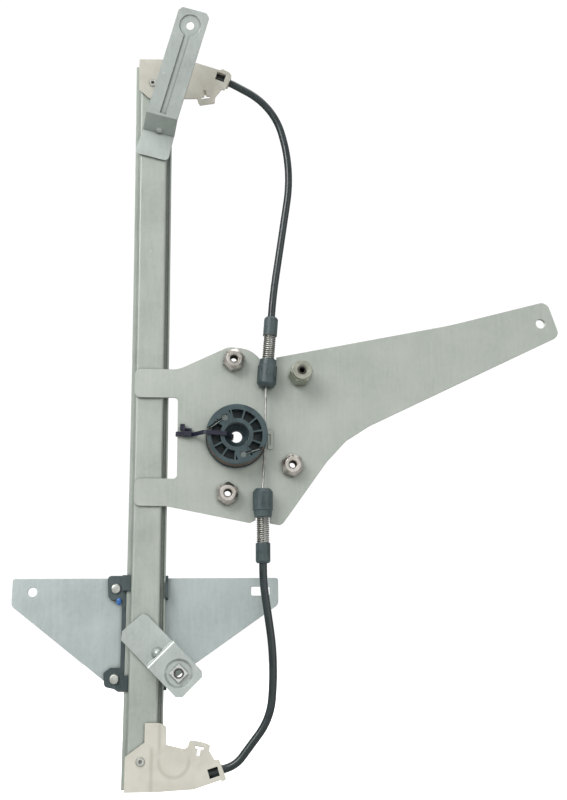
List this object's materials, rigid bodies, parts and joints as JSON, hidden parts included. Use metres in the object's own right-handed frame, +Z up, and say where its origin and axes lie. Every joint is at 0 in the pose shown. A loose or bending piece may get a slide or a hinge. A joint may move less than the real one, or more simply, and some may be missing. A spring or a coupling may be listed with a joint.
{
  "type": "window regulator",
  "caption": "Car window regulator: a curved rail with a sliding glass carrier, moved by a cable loop that a drum on the motor plate winds.",
  "frame": {"origin": "on the drum's axis, in the plane of the motor plate's front face", "axes": "+Z up along the rail, +X towards the end of the motor plate's arm, -Y along the drum's axis to the side the motor goes on"},
  "size_m": [0.36, 0.0702, 0.4925],
  "materials": {
    "zinc_steel": "passivated zinc plate",
    "plain_steel": "bright",
    "nickel_steel": "warm nickel plate",
    "yellow_zinc_steel": "pale yellow zinc plate",
    "cast_zinc": "die cast",
    "spring_steel": "bright wire",
    "steel_cable": "twisted strands, greased",
    "dark_plastic": "moulded",
    "black_plastic": "smooth",
    "pale_nylon": "slightly translucent"
  },
  "bodies": {
    "frame": {"guide_rail": "zinc_steel", "top_cable_guide": "pale_nylon", "bottom_cable_guide": "pale_nylon", "guide_rivets": "plain_steel", "motor_plate": "zinc_steel", "motor_nuts": "nickel_steel", "standoff": "yellow_zinc_steel", "upper_tension_socket": "dark_plastic", "lower_tension_socket": "dark_plastic", "upper_tension_spring": "spring_steel", "lower_tension_spring": "spring_steel", "upper_conduit": "black_plastic", "lower_conduit": "black_plastic", "conduit_ferrules": "black_plastic", "upper_drive_cable": "steel_cable", "lower_drive_cable": "steel_cable", "upper_bracket": "zinc_steel", "lower_bracket": "zinc_steel", "bracket_square_nut": "nickel_steel", "cable_tie": "black_plastic"},
    "drum": {"cable_drum": "dark_plastic", "wound_cable": "steel_cable", "drum_nipples": "cast_zinc"},
    "carrier": {"carrier_plate": "zinc_steel", "slider": "dark_plastic", "cable_end_nipples": "cast_zinc", "slider_rivets": "plain_steel"},
    "upper_cap": {"upper_tension_cap": "dark_plastic"},
    "lower_cap": {"lower_tension_cap": "dark_plastic"}
  },
  "joints": [
    {"name": "carrier_travel", "type": "hinge", "parent": "frame", "child": "carrier", "pos_m": [0, -1.4978, 0], "axis": [1, 0, 0], "range_deg": [-0.9, 11.4]},
    {"name": "drum_spin", "type": "hinge", "parent": "frame", "child": "drum", "pos_m": [0, 0, 0], "axis": [0, 1, 0], "range_deg": [-80, 950]},
    {"name": "upper_tension", "type": "slide", "parent": "frame", "child": "upper_cap", "axis": [0.0767, 0, 0.9971], "range_m": [-0.003, 0.002], "stiffness_N_per_m": 4000, "deforming": ["upper_tension_spring"]},
    {"name": "lower_tension", "type": "slide", "parent": "frame", "child": "lower_cap", "axis": [0, 0, -1], "range_m": [-0.003, 0.002], "stiffness_N_per_m": 4000, "deforming": ["lower_tension_spring"]}
  ],
  "couplings": [
    {"joint": "drum_spin", "follows": "carrier_travel", "ratio": 82.213}
  ]
}
